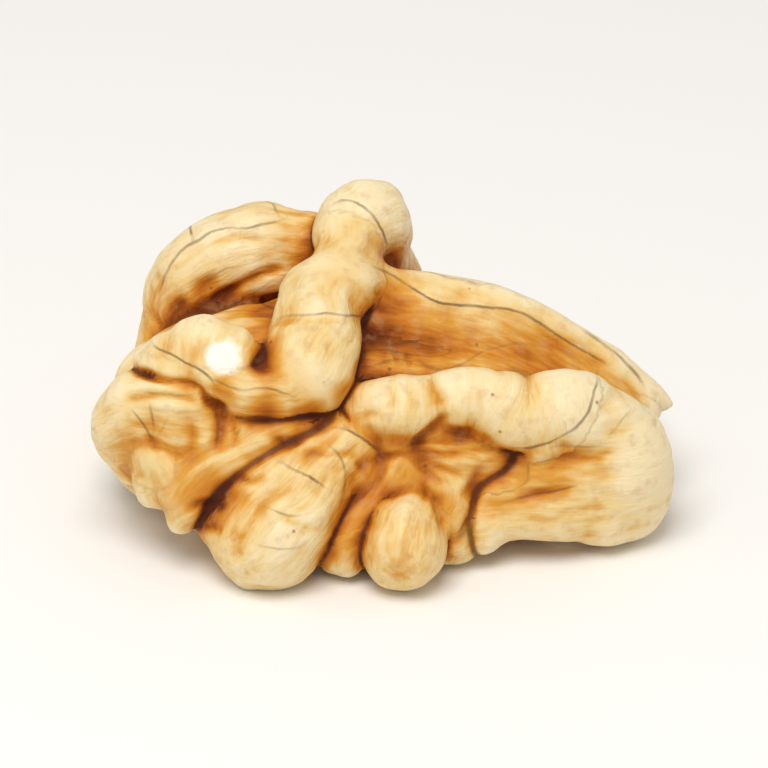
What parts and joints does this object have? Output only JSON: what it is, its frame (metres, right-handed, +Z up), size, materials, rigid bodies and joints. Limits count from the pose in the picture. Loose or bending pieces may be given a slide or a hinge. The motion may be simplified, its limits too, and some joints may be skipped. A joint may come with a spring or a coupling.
{
  "type": "walnut kernel half",
  "caption": "Shelled walnut kernel half: rounded brain-like folds around a crest, with a smooth thin wing along the top.",
  "frame": {"origin": "middle of the kernel's box in plan, at the level of the small flats that it rests on", "axes": "+Z up; +X along the kernel towards the pointed end of the wing; +Y towards the back lobe"},
  "size_m": [0.0376, 0.03, 0.0194],
  "materials": {
    "seed_coat": "thin waxy seed coat, golden tan on the folds and brown in the creases"
  },
  "bodies": {
    "root": {"walnut_half": "seed_coat"}
  },
  "joints": []
}
